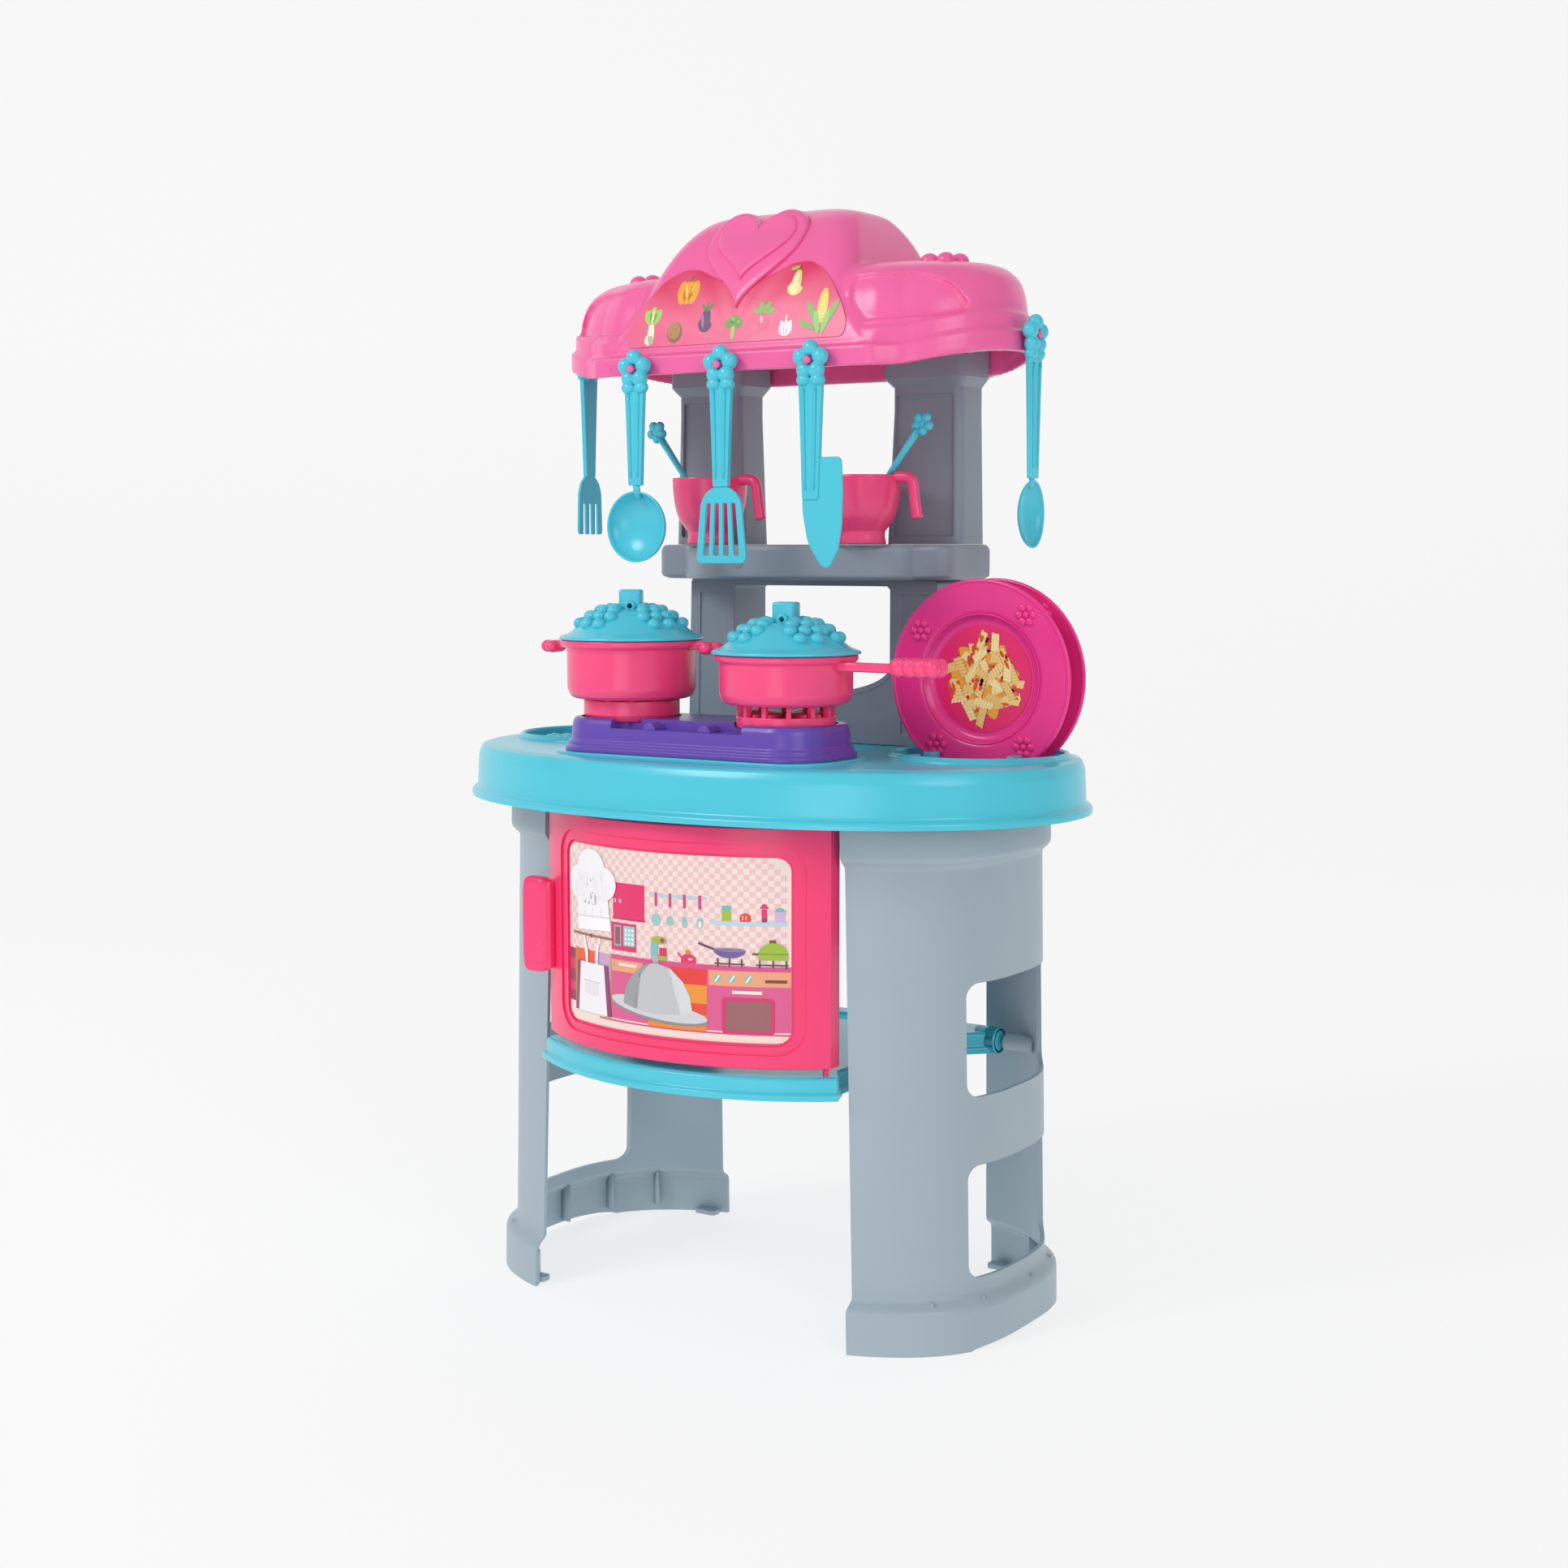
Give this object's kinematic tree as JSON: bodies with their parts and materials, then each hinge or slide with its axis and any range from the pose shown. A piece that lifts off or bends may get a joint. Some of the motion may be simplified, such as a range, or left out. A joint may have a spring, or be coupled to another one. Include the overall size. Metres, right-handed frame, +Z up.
{
  "type": "toy kitchen",
  "caption": "Child's play kitchen: oval counter on curved side panels, oven with a hinged door, tower with shelf and hood, hob with lidded pot and pan, cups, plates and hanging utensils.",
  "frame": {"origin": "on the floor, under the middle of the counter", "axes": "+Z up, the front with the oven door faces -Y, +X to the right as seen from the front"},
  "size_m": [0.5, 0.327, 0.8],
  "materials": {
    "lower_grey": "injection moulded polypropylene, fine satin texture",
    "upper_grey": "injection moulded polypropylene, fine satin texture",
    "turquoise": "injection moulded polypropylene, semi-gloss",
    "hot_pink": "injection moulded polypropylene, semi-gloss",
    "hood_pink": "injection moulded polypropylene, semi-gloss",
    "purple": "injection moulded polypropylene, semi-gloss",
    "magenta": "injection moulded polypropylene, semi-gloss",
    "door_print": "printed self-adhesive film",
    "hood_print": "printed self-adhesive film",
    "plate_print": "printed self-adhesive film"
  },
  "bodies": {
    "frame": {"left_side_panel": "lower_grey", "right_side_panel": "lower_grey", "countertop": "turquoise", "oven_tray": "turquoise", "lower_tower": "upper_grey", "shelf": "upper_grey", "left_upper_column": "upper_grey", "right_upper_column": "upper_grey", "hood": "hood_pink", "hood_picture": "hood_print", "hob": "purple", "left_grate": "hot_pink", "right_grate": "hot_pink"},
    "door": {"oven_door": "hot_pink", "door_picture": "door_print"},
    "front_plate": {"front_plate": "magenta", "front_plate_picture": "plate_print"},
    "rear_plate": {"rear_plate": "magenta", "rear_plate_picture": "plate_print"},
    "ladle": {"ladle": "turquoise"},
    "spatula": {"spatula": "turquoise"},
    "knife": {"knife": "turquoise"},
    "spoon": {"spoon": "turquoise"},
    "fork": {"fork": "turquoise"},
    "left_cup": {"left_cup": "hot_pink"},
    "right_cup": {"right_cup": "hot_pink"},
    "left_stirrer": {"left_stirrer": "turquoise"},
    "right_stirrer": {"right_stirrer": "turquoise"},
    "pot": {"pot": "hot_pink"},
    "pot_lid": {"pot_lid": "turquoise"},
    "pan": {"pan": "hot_pink"},
    "pan_lid": {"pan_lid": "turquoise"}
  },
  "joints": [
    {"name": "door_hinge", "type": "hinge", "parent": "frame", "child": "door", "pos_m": [0.117, -0.1105, 0.2795], "axis": [0, 0, 1], "range_deg": [0, 100]},
    {"name": "ladle_swing", "type": "hinge", "parent": "frame", "child": "ladle", "pos_m": [-0.0757, -0.0645, 0.684], "axis": [0, 1, 0], "range_deg": [-10, 20]},
    {"name": "spatula_swing", "type": "hinge", "parent": "frame", "child": "spatula", "pos_m": [0, -0.0645, 0.684], "axis": [0, 1, 0], "range_deg": [-8, 8]},
    {"name": "knife_swing", "type": "hinge", "parent": "frame", "child": "knife", "pos_m": [0.0757, -0.0645, 0.684], "axis": [0, 1, 0], "range_deg": [-20, 14]},
    {"name": "spoon_swing", "type": "hinge", "parent": "frame", "child": "spoon", "pos_m": [0.1965, 0.037, 0.7033], "axis": [1, 0, 0], "range_deg": [-20, 20]},
    {"name": "fork_swing", "type": "hinge", "parent": "frame", "child": "fork", "pos_m": [-0.1965, 0.037, 0.7033], "axis": [1, 0, 0], "range_deg": [-20, 20]},
    {"name": "left_cup_lift", "type": "slide", "parent": "frame", "child": "left_cup", "axis": [0, 0, 1], "range_m": [0, 0.05]},
    {"name": "right_cup_lift", "type": "slide", "parent": "frame", "child": "right_cup", "axis": [0, 0, 1], "range_m": [0, 0.05]},
    {"name": "left_stirrer_out", "type": "slide", "parent": "left_cup", "child": "left_stirrer", "axis": [-0.6018, 0, 0.7986], "range_m": [0, 0.05]},
    {"name": "right_stirrer_out", "type": "slide", "parent": "right_cup", "child": "right_stirrer", "axis": [0.6018, 0, 0.7986], "range_m": [0, 0.05]},
    {"name": "pot_lift", "type": "slide", "parent": "frame", "child": "pot", "axis": [0, -0.8, 0.6], "range_m": [0, 0.12]},
    {"name": "pan_lift", "type": "slide", "parent": "frame", "child": "pan", "axis": [0, -0.8, 0.6], "range_m": [0, 0.12]},
    {"name": "pot_lid_lift", "type": "slide", "parent": "pot", "child": "pot_lid", "axis": [0, -0.6, 0.8], "range_m": [0, 0.12]},
    {"name": "pan_lid_lift", "type": "slide", "parent": "pan", "child": "pan_lid", "axis": [0, -0.6, 0.8], "range_m": [0, 0.12]},
    {"name": "front_plate_lift", "type": "slide", "parent": "frame", "child": "front_plate", "axis": [0.6, 0, 0.8], "range_m": [0, 0.12]},
    {"name": "rear_plate_lift", "type": "slide", "parent": "frame", "child": "rear_plate", "axis": [0.6, 0, 0.8], "range_m": [0, 0.025]}
  ]
}
